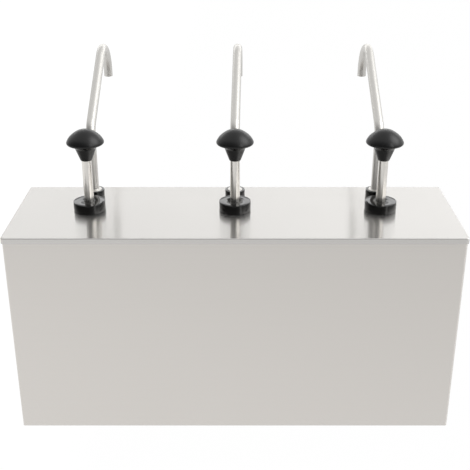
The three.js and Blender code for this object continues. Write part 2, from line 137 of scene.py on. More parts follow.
def grained(name, colour, spread, scales, roughness, bump, shader):
    """A solid finish with a grain: scales are the grain's lengths along X, Y and Z in millimetres.
    spread is the share by which the colour strays, roughness a pair that the grain moves between,
    and bump the depth of its relief in millimetres."""
    material = new_material(name)
    place = add_node(material, "ShaderNodeTexCoord")
    stretch = add_node(
        material, "ShaderNodeMapping",
        inputs={"Scale": [1 / (length * MM) for length in scales]}, links={"Vector": (place, "Object")})
    grain = add_node(
        material, "ShaderNodeTexNoise",
        inputs={"Scale": 1.0, "Detail": GRAIN_DETAIL, "Roughness": GRAIN_FALLOFF},
        links={"Vector": (stretch, "Vector")})
    cloud = add_node(
        material, "ShaderNodeTexNoise", inputs={"Scale": 1 / (CLOUD_SIZE * MM), "Detail": CLOUD_DETAIL},
        links={"Vector": (place, "Object")})
    mixed = add_node(
        material, "ShaderNodeMix", settings={"data_type": "FLOAT"}, inputs={"Factor": CLOUD_SHARE},
        links={"A": (grain, "Fac"), "B": (cloud, "Fac")})
    tint = add_node(material, "ShaderNodeValToRGB", links={"Fac": (mixed, "Result")})
    for end, position, way in zip(tint.color_ramp.elements, (GRAIN_LOW, GRAIN_HIGH), (-1, 1)):
        end.position = position
        end.color = (*(channel * (1 + way * spread) for channel in linear(colour)[:3]), 1.0)
    least, most = roughness
    polish = add_node(
        material, "ShaderNodeMapRange",
        inputs={"From Min": GRAIN_LOW, "From Max": GRAIN_HIGH, "To Min": least, "To Max": most},
        links={"Value": (mixed, "Result")})
    relief = add_node(
        material, "ShaderNodeBump", inputs={"Strength": 1.0, "Distance": bump * MM},
        links={"Height": (grain, "Fac")})
    surface = add_node(
        material, "ShaderNodeBsdfPrincipled", inputs=shader,
        links={"Base Color": (tint, "Color"), "Roughness": (polish, "Result"), "Normal": (relief, "Normal")})
    add_node(material, "ShaderNodeOutputMaterial", links={"Surface": (surface, "BSDF")})
    return material, surface


# Type 304 stainless sheet with a satin polish that runs along the width: reflections smear along
# the depth and up the walls, but stay sharp sideways. The real grain is under 0.1 mm across, so it
# is drawn ten times as coarse, to show. The tangent keeps a little depth, for the end walls.
SATIN_SHADER = {"Metallic": 1.0, "Anisotropic": 1.0, "Anisotropic Rotation": 0.25}
SATIN_GRAIN = (150, 1.0, 1.0)
SATIN_SPREAD = 0.008
GRAIN_TANGENT = {"X": 1.0, "Y": 0.004}


def satin_sheet(name, colour, roughness, bump):
    material, surface = grained(name, colour, SATIN_SPREAD, SATIN_GRAIN, roughness, bump, SATIN_SHADER)
    along_grain = add_node(material, "ShaderNodeCombineXYZ", inputs=GRAIN_TANGENT)
    material.node_tree.links.new(along_grain.outputs["Vector"], surface.inputs["Tangent"])
    return material


# The lid and the walls are the same steel: the walls' lighter colour and the lid's darker one are painted
# light and shade, set to match how light falls on each
lid_steel = satin_sheet("satin_stainless_lid", "#d4d2cf", roughness=(0.24, 0.26), bump=0.0003)
wall_steel = satin_sheet("satin_stainless_walls", "#e0dcd7", roughness=(0.274, 0.286), bump=0.00012)

# Deep-drawn stainless, dull from the press, with faint draw lines down the walls
drawn_steel, _ = grained(
    "drawn_stainless", "#c2c0bc", spread=0.03, scales=(1.6, 1.6, 30), roughness=(0.3, 0.42), bump=0.003,
    shader={"Metallic": 1.0})

# Stainless tube, ground and polished round and round, with rings too fine to see one by one:
# reflections smear along the tube. Its axis lies in a plane across X, so the smear runs along the
# cross product of the surface's normal and X.
GROUND_SHADER = {"Metallic": 1.0, "Anisotropic": 0.9}
TUBE_MOTTLE = (6, 6, 6)
TUBE_SPREAD = 0.01

polished_tube, polished_surface = grained(
    "polished_stainless_tube", "#dcd9d4", spread=TUBE_SPREAD, scales=TUBE_MOTTLE, roughness=(0.15, 0.17),
    bump=0.0, shader=GROUND_SHADER)
tube_face = add_node(polished_tube, "ShaderNodeNewGeometry")
along_tube = add_node(
    polished_tube, "ShaderNodeVectorMath", settings={"operation": "CROSS_PRODUCT"}, inputs={1: (1, 0, 0)},
    links={0: (tube_face, "Normal")})
polished_tube.node_tree.links.new(along_tube.outputs["Vector"], polished_surface.inputs["Tangent"])

# The spouts' tube is bent after polishing and brushed over by hand, so it is duller than the plungers
# Its colour is set darker than the plungers': painted shade that tones down the key glow's highlight on its
# arms
brushed_tube, _ = grained(
    "brushed_stainless_spout", "#cccac6", spread=TUBE_SPREAD, scales=TUBE_MOTTLE, roughness=(0.36, 0.4),
    bump=0.0, shader={"Metallic": 1.0})

# Cold-drawn spring wire, bright but scuffed all over
spring_wire, _ = grained(
    "spring_wire", "#a9a7a2", spread=0.05, scales=(0.9, 0.9, 0.9), roughness=(0.28, 0.4), bump=0.003,
    shader={"Metallic": 1.0})

# Injection-moulded black plastic from a polished mould: a clear, dark mirror
gloss_plastic, _ = grained(
    "moulded_gloss_black", "#010101", spread=0.25, scales=(3, 3, 3), roughness=(0.02, 0.05), bump=0.0005,
    shader={"IOR": 1.42})

# The same plastic from a fine-blasted mould: the knobs' soft sheen
satin_plastic, _ = grained(
    "moulded_satin_black", "#030304", spread=0.2, scales=(0.8, 0.8, 0.8), roughness=(0.28, 0.34), bump=0.006,
    shader={"IOR": 1.44})

# Natural acetal, milky and slightly soft to the light
acetal, _ = grained(
    "natural_acetal", "#e7e5de", spread=0.02, scales=(8, 8, 8), roughness=(0.36, 0.46), bump=0.002,
    shader={"IOR": 1.48, "Subsurface Weight": 0.15, "Subsurface Scale": 0.002})

# Nitrile rubber with a bloom of fine dust in its moulding marks
nitrile, _ = grained(
    "nitrile_rubber", "#232427", spread=0.15, scales=(1, 1, 1), roughness=(0.6, 0.75), bump=0.01,
    shader={"IOR": 1.52})

SLOT_FINISH = {
    "sheet_steel": wall_steel,
    "pan_steel": drawn_steel,
    "tube_steel": polished_tube,
    "spring_steel": spring_wire,
    "gloss_black": gloss_plastic,
    "satin_black": satin_plastic,
    "white_plastic": acetal,
    "seal_rubber": nitrile,
}


# Modelling by hand: selections, rings, plates
def start(name, add, **settings):
    """Adds a primitive, puts its place in its mesh and opens it for editing, all selected"""
    bpy.ops.object.select_all(action="DESELECT")
    add(**settings)
    piece = bpy.context.object
    piece.name = name
    piece.data.name = name
    bpy.ops.object.transform_apply(location=True, rotation=True, scale=True)
    bpy.ops.object.mode_set(mode="EDIT")
    bpy.ops.mesh.select_mode(type="EDGE")
    bpy.ops.mesh.select_all(action="SELECT")
    return piece


def pick_edges(piece, wanted):
    """Selects just the edges whose two ends together satisfy wanted"""
    bpy.ops.mesh.select_all(action="DESELECT")
    mesh = bmesh.from_edit_mesh(piece.data)
    for edge in mesh.edges:
        if wanted(*(vertex.co for vertex in edge.verts)):
            edge.select_set(True)
    bmesh.update_edit_mesh(piece.data)


def pick(piece, wanted):
    """Selects just the edges whose two ends both satisfy wanted"""
    pick_edges(piece, lambda one, other: wanted(one) and wanted(other))


def on_ring(x, y, z, radius):
    return lambda co: abs(math.hypot(co.x - x, co.y - y) - radius) < NEAR and abs(co.z - z) < NEAR


def soften(size, steps):
    """Rounds the selected edges"""
    bpy.ops.mesh.bevel(
        offset=size * MM, offset_type="OFFSET", segments=steps, affect="EDGES", clamp_overlap=False)


def scale_flat(across, along, centre):
    """Scales what is selected in X and Y about centre"""
    bpy.ops.transform.resize(value=(across, along, 1), center_override=centre)


def tidy_shell():
    """Joins doubles and turns every face outwards"""
    bpy.ops.mesh.select_all(action="SELECT")
    bpy.ops.mesh.remove_doubles(threshold=WELD_DISTANCE)
    bpy.ops.mesh.normals_make_consistent(inside=False)
    bpy.ops.mesh.select_all(action="DESELECT")


def close_editing(piece):
    tidy_shell()
    bpy.ops.object.mode_set(mode="OBJECT")
    bpy.ops.object.shade_smooth_by_angle(angle=SMOOTH_ANGLE)
    return piece


def choose(piece):
    """Makes the piece the only one that is selected, and the active one"""
    bpy.ops.object.select_all(action="DESELECT")
    piece.select_set(True)
    bpy.context.view_layer.objects.active = piece


def apply_modifier(piece, kind, **settings):
    choose(piece)
    bpy.ops.object.modifier_add(type=kind)
    modifier = piece.modifiers[-1]
    for name, value in settings.items():
        setattr(modifier, name, value)
    bpy.ops.object.modifier_apply(modifier=modifier.name)


def join_to(piece, other, operation):
    """Adds the other piece to this one, or cuts it out, and removes it"""
    apply_modifier(piece, "BOOLEAN", operation=operation, solver="EXACT", object=other)
    bpy.data.objects.remove(other)


def give_thickness(piece):
    """Turns a folded face into a sheet, inwards from its outer side"""
    apply_modifier(piece, "SOLIDIFY", thickness=SHEET * MM, offset=-1, use_even_offset=True)


def smooth_again(piece):
    choose(piece)
    bpy.ops.object.shade_smooth_by_angle(angle=SMOOTH_ANGLE)


def cutting_rod(radius, length, sides, centre, tilt=0.0):
    """A plain cylinder that cuts a hole, upright unless tilted: radius and length in millimetres"""
    bpy.ops.object.select_all(action="DESELECT")
    bpy.ops.mesh.primitive_cylinder_add(
        vertices=sides, radius=radius * MM, depth=length * MM, rotation=(tilt, 0, 0), location=centre)
    return bpy.context.object


def extrude(y=0.0, z=0.0):
    bpy.ops.mesh.extrude_region_move(TRANSFORM_OT_translate={"value": (0, y, z)})


def turned(name, outline, y, sides=ROUND_SIDES, looped=True, soft=()):
    """Turns a piece about the upright through (centre pump, y): outline is [radius, height above the lid]
    in millimetres, drawn ring by ring. A looped outline joins its end to its start; an open one
    gets flat ends, and an end of radius 0 is a pole. soft lists [radius, height, size, steps] of the
    edges to round."""
    x = PUMP_X["centre"]
    radius, height = outline[0]
    piece = start(
        name, bpy.ops.mesh.primitive_circle_add, vertices=sides, radius=radius * MM,
        location=(x, y, LID_TOP + height * MM))
    for next_radius, next_height in outline[1:]:
        extrude(z=(next_height - height) * MM)
        if next_radius == 0:
            bpy.ops.mesh.merge(type="CENTER")
        elif next_radius != radius:
            scale_flat(next_radius / radius, next_radius / radius, (x, y, 0))
        radius, height = next_radius, next_height
    if looped:
        extrude(z=(outline[0][1] - height) * MM)
        scale_flat(outline[0][0] / radius, outline[0][0] / radius, (x, y, 0))
    else:
        for end_radius, end_height in (outline[0], outline[-1]):
            if end_radius:
                pick(piece, on_ring(x, y, LID_TOP + end_height * MM, end_radius * MM))
                bpy.ops.mesh.edge_face_add()
    tidy_shell()
    for soft_radius, soft_height, size, steps in soft:
        pick(piece, on_ring(x, y, LID_TOP + soft_height * MM, soft_radius * MM))
        soften(size, steps)
    return close_editing(piece)


def curved(points, steps):
    """A smooth line through [radius, height] points, made of one cubic stretch from each to the next"""
    first = [2 * a - b for a, b in zip(points[0], points[1])]
    last = [2 * a - b for a, b in zip(points[-1], points[-2])]
    run = [first, *points, last]
    line = []
    for before, here, there, after in zip(run, run[1:], run[2:], run[3:]):
        for step in range(steps):
            t = step / steps
            line.append([
                0.5 * (2 * b + (c - a) * t + (2 * a - 5 * b + 4 * c - d) * t * t
                       + (3 * b - a - 3 * c + d) * t ** 3)
                for a, b, c, d in zip(before, here, there, after)])
    return [*line, points[-1]]


def plate_outline(name, width, depth, z, corner):
    """A flat sheet with rounded corners, centred on the object and all selected: sizes in metres"""
    piece = start(name, bpy.ops.mesh.primitive_plane_add, size=1, location=(0, 0, z))
    scale_flat(width, depth, (0, 0, z))
    bpy.ops.mesh.select_mode(type="VERT")
    bpy.ops.mesh.bevel(offset=corner, segments=CORNER_STEPS, affect="VERTICES")
    bpy.ops.mesh.select_mode(type="EDGE")
    bpy.ops.mesh.select_all(action="SELECT")
    return piece


# Sheet metal
SHEET = 1.0
HOUSING_CORNER = 2.5
HOUSING_FOLD = 1.5
HOUSING_LEDGE = 9.0
LID_CORNER = 3.5
LID_FOLD = 1.1
LID_SKIRT = 7.0
CYLINDER_HOLE = 13.3
OUTLET_HOLE = 10.8
HOLE_CUT_LENGTH = 20


def housing_walls():
    """Four walls folded from one sheet, with the inward ledge along the top"""
    width = shell_high.x - shell_low.x
    depth = shell_high.y - shell_low.y
    top = shell_high.z
    piece = plate_outline("housing_walls", width, depth, 0, HOUSING_CORNER * MM)
    bpy.ops.mesh.delete(type="ONLY_FACE")
    bpy.ops.mesh.select_all(action="SELECT")
    extrude(z=top)
    extrude()
    ledge = 2 * HOUSING_LEDGE * MM
    scale_flat(1 - ledge / width, 1 - ledge / depth, (0, 0, top))
    fold_x = width / 2 - HOUSING_CORNER * MM - NEAR
    fold_y = depth / 2 - HOUSING_CORNER * MM - NEAR
    pick(piece, lambda co: abs(co.z - top) < NEAR and (abs(co.x) > fold_x or abs(co.y) > fold_y))
    soften(HOUSING_FOLD, FOLD_STEPS)
    close_editing(piece)
    give_thickness(piece)
    apply_modifier(piece, "WEIGHTED_NORMAL", keep_sharp=True)
    return piece


def lid_sheet():
    """The lid: one sheet with its edges folded down, and a hole for each cylinder and each outlet"""
    width = lid_high.x - lid_low.x
    depth = lid_high.y - lid_low.y
    piece = plate_outline("lid_sheet", width, depth, LID_TOP, LID_CORNER * MM)
    bpy.ops.mesh.region_to_loop()
    extrude(z=-LID_SKIRT * MM)
    pick(piece, lambda co: abs(co.z - LID_TOP) < NEAR)
    soften(LID_FOLD, FOLD_STEPS)
    close_editing(piece)
    give_thickness(piece)
    for pump in PUMPS:
        for y, radius in ((PUMP_Y, CYLINDER_HOLE), (RISER_Y, OUTLET_HOLE)):
            rod = cutting_rod(radius, HOLE_CUT_LENGTH, ROUND_SIDES, (PUMP_X[pump], y, LID_TOP))
            join_to(piece, rod, "DIFFERENCE")
    smooth_again(piece)
    apply_modifier(piece, "WEIGHTED_NORMAL", keep_sharp=True)
    return piece


# Turned pieces of a pump: outlines are [radius, height above the lid], the knob's above its own foot
KNOB_RISE = 65.6
KNOB_TOP = [0, 38.86]
KNOB_CURVE_STEPS = 4
KNOB_STEM = [[6.3, 24], [6.3, 0], [6.85, 0], [7.15, 0.3], [7.5, 1.2], [12.4, 14.2]]
KNOB_HEAD = [
    [12.65, 15.0], [13.5, 16.2], [15.8, 18.1], [19.1, 19.7], [21.7, 20.75], [22.75, 22.4], [22.2, 24.6],
    [20.0, 28.3], [17.1, 31.4], [13.4, 34.35], [8.9, 37.0], [4.5, 38.4], [0.6, 38.84]]


def knob_head():
    points = [*KNOB_STEM, *curved(KNOB_HEAD, KNOB_CURVE_STEPS), KNOB_TOP]
    outline = [[radius, KNOB_RISE + height] for radius, height in points]
    return turned("knob_head", outline, PUMP_Y, looped=False)


def plunger_rod():
    return turned("plunger_rod", [[5, -84.1], [6, -84.1], [6, 89.4], [5, 89.4]], PUMP_Y, TUBE_SIDES)


def piston_head():
    outline = [[13.5, -87.4], [13.5, -84.7], [12, -84.7], [12, -81.1], [13.5, -81.1], [13.5, -78.4],
               [9, -78.4], [9, -72.4], [6.3, -72.4], [6.3, -84.4]]
    soft = [[13.5, -87.4, 0.5, 2], [13.5, -78.4, 0.5, 2]]
    return turned("piston_head", outline, PUMP_Y, looped=False, soft=soft)


def cap_ring():
    outline = [[13.3, 0.3], [19.7, 0.3], [19.7, 12], [6.3, 12], [6.3, 9.3], [13.3, 9.3]]
    soft = [[19.7, 12, 0.45, 3], [6.3, 12, 0.15, 2], [19.7, 0.3, 0.3, 2]]
    return turned("cap_ring", outline, PUMP_Y, soft=soft)


def nut_ring():
    outline = [[10.8, 0.3], [12.7, 0.3], [12.7, 11], [9.9, 11], [9.9, 6.6], [10.8, 6.6]]
    soft = [[12.7, 11, 0.7, 4], [9.9, 11, 0.25, 2], [12.7, 0.3, 0.3, 2]]
    return turned("nut_ring", outline, RISER_Y, soft=soft)


def guide_sleeve():
    outline = [[6.3, -7.5], [9.7, -7.5], [9.7, 7.3], [13, 7.3], [13, 9], [6.3, 9]]
    return turned("guide_sleeve", outline, PUMP_Y, soft=[[9.7, -7.5, 0.5, 2]])


def flat_gasket():
    outline = [[13.3, -2.8], [19, -2.8], [19, -1.3], [13.3, -1.3]]
    return turned("flat_gasket", outline, PUMP_Y, soft=[[19, -2.8, 0.4, 2], [19, -1.3, 0.4, 2]])


def cylinder_barrel():
    outline = [[14, -159.7], [16, -159.7], [16, -6.1], [19, -6.1], [19, -3.1], [13, -3.1], [13, 7], [10, 7],
               [10, -8.1], [14, -8.1]]
    soft = [[16, -159.7, 0.4, 2], [16, -6.1, 1.2, 4], [19, -6.1, 0.4, 2], [19, -3.1, 0.4, 2], [13, 7, 0.6, 2]]
    return turned("cylinder_barrel", outline, PUMP_Y, soft=soft)


def seal_ring():
    outline = [[12.3, -84.4], [13.75, -84.4], [13.75, -81.4], [12.3, -81.4]]
    return turned("seal_ring", outline, PUMP_Y, soft=[[13.75, -84.4, 0.6, 3], [13.75, -81.4, 0.6, 3]])


def inlet_plug():
    outline = [[5, -194.3], [15, -194.3], [15, -191.3], [10, -191.3], [10, -184], [7, -184], [5, -186]]
    soft = [[5, -194.3, 0.8, 3], [15, -194.3, 0.6, 3], [15, -191.3, 0.4, 2]]
    return turned("inlet_plug", outline, PUMP_Y, soft=soft)


def neck_fitting():
    outline = [[6.3, -16], [9, -16], [9, -4.3], [14, -4.3], [14, -1.3], [10.5, -1.3], [10.5, 4], [5, 4],
               [5, -4], [6.3, -4]]
    soft = [[9, -16, 0.4, 2], [14, -4.3, 0.4, 2], [9, -4.3, 0.8, 3]]
    return turned("neck_fitting", outline, RISER_Y, soft=soft)


def riser_pipe():
    return turned("riser_pipe", [[5, -156.5], [6, -156.5], [6, -4.3], [5, -4.3]], RISER_Y, TUBE_SIDES)


BALL_STEP = 6


def valve_ball(name, radius, height, y):
    """A ball with a small flat underneath, where its outline starts, and a pole on top"""
    arc = [math.radians(angle) for angle in range(BALL_STEP - 90, 91, BALL_STEP)]
    outline = [[radius * math.cos(angle), height + radius * math.sin(angle)] for angle in arc]
    outline[-1][0] = 0
    return turned(name, outline, y, TUBE_SIDES, looped=False)


# Moulded valve body: a pot for the cylinder and the inlet ball, with an arm to the outlet's boss
VALVE_POT = [
    [10.3, -191], [20, -191], [20, -150], [16.3, -150], [16.3, -160], [6, -160], [6, -166], [8.6, -166],
    [8.6, -183.7], [10.3, -183.7]]
VALVE_BOSS = [[12, -185.5], [12, -146.5], [6.3, -146.5], [6.3, -170], [3.6, -170], [3.6, -176], [0, -176]]
ARM_WIDTH = 17
ARM_LOW = -185.5
ARM_HIGH = -166.5
ARM_FROM_PUMP = 14
ARM_TO_RISER = 8.4
ARM_EDGE = 3
CHANNEL_RADIUS = 3.5
CHANNEL_LENGTH = 40
CHANNEL_HEIGHT = -176


def valve_block():
    pot_edges = [[20, -191, 1, 3], [20, -150, 1, 3], [16.3, -150, 0.5, 2]]
    boss_edges = [[12, -185.5, 1, 3], [12, -146.5, 1, 3]]
    block = turned("valve_block", VALVE_POT, PUMP_Y, soft=pot_edges)
    outlet = turned("outlet_boss", VALVE_BOSS, RISER_Y, looped=False, soft=boss_edges)
    x = PUMP_X["centre"]
    near_end, far_end = PUMP_Y + ARM_FROM_PUMP * MM, RISER_Y - ARM_TO_RISER * MM
    low, high = LID_TOP + ARM_LOW * MM, LID_TOP + ARM_HIGH * MM
    middle = (x, (near_end + far_end) / 2, (low + high) / 2)
    arm = start("outlet_arm", bpy.ops.mesh.primitive_cube_add, size=1, location=middle)
    bpy.ops.transform.resize(value=(ARM_WIDTH * MM, far_end - near_end, high - low), center_override=middle)
    pick_edges(arm, lambda one, other: abs(one.y - other.y) > NEAR)
    soften(ARM_EDGE, FOLD_STEPS)
    close_editing(arm)
    channel_middle = (x, (PUMP_Y + RISER_Y) / 2, LID_TOP + CHANNEL_HEIGHT * MM)
    channel = cutting_rod(CHANNEL_RADIUS, CHANNEL_LENGTH, TUBE_SIDES, channel_middle, tilt=math.pi / 2)
    join_to(block, outlet, "UNION")
    join_to(block, arm, "UNION")
    join_to(block, channel, "DIFFERENCE")
    smooth_again(block)
    return block


# Return spring: closed and ground at both ends, open between
SPRING_RADIUS = 11
WIRE_RADIUS = 0.9
WIRE_SIDES = 10
SPRING_TURNS = 8
TURN_STEPS = 24
CLOSED_PITCH = 2.4


def spring_coil():
    x = PUMP_X["centre"]
    length = (spring_high.z - spring_low.z) / MM - 2 * WIRE_RADIUS
    open_pitch = (length - 2 * CLOSED_PITCH) / (SPRING_TURNS - 2)
    piece = start(
        "spring_coil", bpy.ops.mesh.primitive_circle_add, vertices=WIRE_SIDES, radius=WIRE_RADIUS * MM,
        rotation=(math.pi / 2, 0, 0),
        location=(x + SPRING_RADIUS * MM, PUMP_Y, spring_low.z + WIRE_RADIUS * MM))
    for step in range(SPRING_TURNS * TURN_STEPS):
        closed = step < TURN_STEPS or step >= (SPRING_TURNS - 1) * TURN_STEPS
        extrude(z=(CLOSED_PITCH if closed else open_pitch) / TURN_STEPS * MM)
        bpy.ops.transform.rotate(
            value=-2 * math.pi / TURN_STEPS, orient_axis="Z", center_override=(x, PUMP_Y, 0))
    bpy.ops.mesh.edge_face_add()
    wire_top = spring_low.z + 2 * WIRE_RADIUS * MM + NEAR
    pick(piece, lambda co: abs(co.y - PUMP_Y) < NEAR and co.x > x and co.z < wire_top)
    bpy.ops.mesh.edge_face_add()
    return close_editing(piece)


# Pan: drawn bowl with a flat rim
PAN_RIM = 11
PAN_RIM_CORNER = 13
PAN_MOUTH_CORNER = 24
PAN_MOUTH_ROUND = 1.5
PAN_DRAFT = 6
PAN_FLOOR_ROUND = 9
PAN_FLOOR_STEPS = 6


def pan_bowl():
    width, depth = pan_high.x - pan_low.x, pan_high.y - pan_low.y
    mouth_width, mouth_depth = width - 2 * PAN_RIM * MM, depth - 2 * PAN_RIM * MM
    top, floor = pan_high.z, pan_low.z + SHEET * MM
    piece = plate_outline("pan_bowl", width, depth, top, PAN_RIM_CORNER * MM)
    bpy.ops.mesh.delete(type="ONLY_FACE")
    bpy.ops.mesh.primitive_plane_add(size=1, location=(0, 0, top))
    scale_flat(mouth_width, mouth_depth, (0, 0, top))
    bpy.ops.mesh.select_mode(type="VERT")
    bpy.ops.mesh.bevel(offset=PAN_MOUTH_CORNER * MM, segments=CORNER_STEPS, affect="VERTICES")
    bpy.ops.mesh.delete(type="ONLY_FACE")
    bpy.ops.mesh.select_mode(type="EDGE")
    bpy.ops.mesh.select_all(action="SELECT")
    bpy.ops.mesh.bridge_edge_loops()

    def in_mouth(co):
        return abs(co.x) < mouth_width / 2 + NEAR and abs(co.y) < mouth_depth / 2 + NEAR

    pick(piece, in_mouth)
    extrude(z=floor - top)
    draft = 2 * PAN_DRAFT * MM
    scale_flat(1 - draft / mouth_width, 1 - draft / mouth_depth, (0, 0, floor))
    bpy.ops.mesh.edge_face_add()
    tidy_shell()
    pick(piece, lambda co: in_mouth(co) and abs(co.z - top) < NEAR)
    soften(PAN_MOUTH_ROUND, FOLD_STEPS)
    pick(piece, lambda co: abs(co.z - floor) < NEAR)
    soften(PAN_FLOOR_ROUND, PAN_FLOOR_STEPS)
    close_editing(piece)
    give_thickness(piece)
    apply_modifier(piece, "WEIGHTED_NORMAL", keep_sharp=True)
    return piece


# Spout: one tube with a collar, an upright, a bend, an arm, a hook and a nozzle
SPOUT_SLOPE = math.radians(29.3)
SPOUT_CORNER = 91.2
SPOUT_REACH = 181.8
SPOUT_BEND = 22
SPOUT_HOOK = 42.5
SPOUT_BEND_STEPS = 16
SPOUT_HOOK_STEPS = 32
NOZZLE = 5.2
NOZZLE_EDGE = 0.3
NOZZLE_EDGE_STEPS = 2
TUBE_RADIUS = 6
TUBE_BORE = 5
COLLAR = [[TUBE_BORE, 4.3], [10.5, 4.3], [10.5, 6.3], [9.6, 6.3], [9.6, 11.8], [TUBE_RADIUS, 11.8]]
COLLAR_EDGE = 0.8
COLLAR_EDGE_STEPS = 3
CENTRE_SPOUT_TURN = math.radians(1.5)


def bend(steps, angle, centre, onwards):
    """Draws the selected ring round a bend, onwards to the nozzle (1) or back down the bore (-1)"""
    bpy.ops.mesh.spin(steps=steps, angle=angle, center=centre, axis=(onwards, 0, 0))


def spout_pipe():
    """The outside is drawn from the collar to the nozzle and the bore from there back to the collar"""
    x, y = PUMP_X["centre"], RISER_Y
    quarter = math.pi / 2
    bend_z = SPOUT_CORNER - SPOUT_BEND * math.tan((quarter - SPOUT_SLOPE) / 2)
    hook_y = SPOUT_REACH - SPOUT_HOOK
    arm_start = (
        SPOUT_BEND - SPOUT_BEND * math.sin(SPOUT_SLOPE), bend_z + SPOUT_BEND * math.cos(SPOUT_SLOPE))
    arm_end_y = hook_y - SPOUT_HOOK * math.sin(SPOUT_SLOPE)
    arm_end = (arm_end_y, SPOUT_CORNER + arm_end_y * math.tan(SPOUT_SLOPE))
    hook_z = arm_end[1] - SPOUT_HOOK * math.cos(SPOUT_SLOPE)
    arm = [(b - a) * MM for a, b in zip(arm_start, arm_end)]
    bend_centre = (x, y + SPOUT_BEND * MM, LID_TOP + bend_z * MM)
    hook_centre = (x, y + hook_y * MM, LID_TOP + hook_z * MM)
    radius, height = COLLAR[0]
    piece = start(
        "spout_pipe", bpy.ops.mesh.primitive_circle_add, vertices=TUBE_SIDES, radius=radius * MM,
        location=(x, y, LID_TOP + height * MM))
    for next_radius, next_height in COLLAR[1:]:
        extrude(z=(next_height - height) * MM)
        scale_flat(next_radius / radius, next_radius / radius, (x, y, 0))
        radius, height = next_radius, next_height
    extrude(z=(bend_z - height) * MM)
    bend(SPOUT_BEND_STEPS, quarter - SPOUT_SLOPE, bend_centre, onwards=1)
    extrude(y=arm[0], z=arm[1])
    bend(SPOUT_HOOK_STEPS, quarter + SPOUT_SLOPE, hook_centre, onwards=1)
    extrude(z=-NOZZLE * MM)
    extrude()
    scale_flat(TUBE_BORE / TUBE_RADIUS, TUBE_BORE / TUBE_RADIUS, (x, y + SPOUT_REACH * MM, 0))
    extrude(z=NOZZLE * MM)
    bend(SPOUT_HOOK_STEPS, quarter + SPOUT_SLOPE, hook_centre, onwards=-1)
    extrude(y=-arm[0], z=-arm[1])
    bend(SPOUT_BEND_STEPS, quarter - SPOUT_SLOPE, bend_centre, onwards=-1)
    extrude(z=(COLLAR[0][1] - bend_z) * MM)
    tidy_shell()
    for ring_radius, height in COLLAR[-2:]:
        pick(piece, on_ring(x, y, LID_TOP + height * MM, ring_radius * MM))
        soften(COLLAR_EDGE, COLLAR_EDGE_STEPS)
    tip = (x, y + SPOUT_REACH * MM, LID_TOP + (hook_z - NOZZLE) * MM)
    for ring_radius in (TUBE_RADIUS, TUBE_BORE):
        pick(piece, on_ring(*tip, ring_radius * MM))
        soften(NOZZLE_EDGE, NOZZLE_EDGE_STEPS)
    return close_editing(piece)


# Putting the pieces on their bodies
def put_on_body(piece, body, slot, *nodes, finish=None):
    """Gives the piece its finish, by default its slot's, puts it on its body and hides the nodes it replaces
    """
    piece.data.materials.clear()
    piece.data.materials.append(finish or SLOT_FINISH[slot])
    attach(piece, body)
    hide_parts(*nodes)


def one_per_pump(model, bodies, slot, node, finish=None):
    """Copies the piece modelled at the centre pump to every pump, each with its own mesh"""
    pieces = {}
    stem = model.name
    for pump in PUMPS:
        choose(model)
        shift = PUMP_X[pump] - PUMP_X["centre"]
        bpy.ops.object.duplicate_move(TRANSFORM_OT_translate={"value": (shift, 0, 0)})
        piece = bpy.context.object
        bpy.ops.object.transform_apply(location=True, rotation=True, scale=True)
        piece.name = f"{stem}_{pump}"
        piece.data.name = piece.name
        pieces[pump] = piece
    bpy.data.objects.remove(model)
    for pump, piece in pieces.items():
        body = bodies if bodies == "lid_unit" else f"{bodies}_{pump}"
        put_on_body(piece, body, slot, f"{node}_{pump}", finish=finish)
    return pieces


def turn_about_riser(piece, angle):
    """Turns the centre spout about its riser, clockwise from above"""
    choose(piece)
    bpy.ops.object.mode_set(mode="EDIT")
    bpy.ops.mesh.select_all(action="SELECT")
    bpy.ops.transform.rotate(value=angle, orient_axis="Z", center_override=(PUMP_X["centre"], RISER_Y, 0))
    bpy.ops.object.mode_set(mode="OBJECT")


add_camera()
put_on_body(housing_walls(), "housing", "sheet_steel", "housing_shell")
put_on_body(lid_sheet(), "lid_unit", "sheet_steel", "lid", finish=lid_steel)
one_per_pump(pan_bowl(), "pan_unit", "pan_steel", "pan")
one_per_pump(knob_head(), "plunger", "satin_black", "knob")
one_per_pump(plunger_rod(), "plunger", "tube_steel", "plunger_tube")
one_per_pump(piston_head(), "plunger", "white_plastic", "piston")
one_per_pump(seal_ring(), "plunger", "seal_rubber", "piston_seal")
one_per_pump(cap_ring(), "lid_unit", "gloss_black", "pump_cap")
one_per_pump(guide_sleeve(), "lid_unit", "gloss_black", "guide_bush")
one_per_pump(flat_gasket(), "lid_unit", "seal_rubber", "cap_gasket")
one_per_pump(cylinder_barrel(), "lid_unit", "pan_steel", "pump_cylinder")
one_per_pump(valve_block(), "lid_unit", "white_plastic", "valve_body")
one_per_pump(inlet_plug(), "lid_unit", "white_plastic", "inlet_seat")
one_per_pump(riser_pipe(), "lid_unit", "tube_steel", "riser_tube")
one_per_pump(neck_fitting(), "lid_unit", "pan_steel", "outlet_neck")
one_per_pump(nut_ring(), "lid_unit", "gloss_black", "spout_nut")
one_per_pump(valve_ball("inlet_bead", 7, -180.8, PUMP_Y), "inlet_valve", "tube_steel", "inlet_ball")
one_per_pump(valve_ball("outlet_bead", 5.3, -165.81, RISER_Y), "outlet_valve", "tube_steel", "outlet_ball")
springs = one_per_pump(spring_coil(), "lid_unit", "spring_steel", "return_spring")
spouts = one_per_pump(spout_pipe(), "spout_arm", "tube_steel", "spout", finish=brushed_tube)
turn_about_riser(spouts["centre"], CENTRE_SPOUT_TURN)
for pump, spring in springs.items():
    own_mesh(spring)

# CAD nodes that stay: each gets its finish
for name in ("housing_base", "pan_deck"):
    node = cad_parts[name]
    node.data.materials.clear()
    node.data.materials.append(wall_steel)


# Studio: a white floor and sky, and soft boxes. Brightness 1 is the white of the floor.
FLOOR_SIZE = 30
FLOOR_DROP = 0.0002
FLOOR_GLOW = 0.99
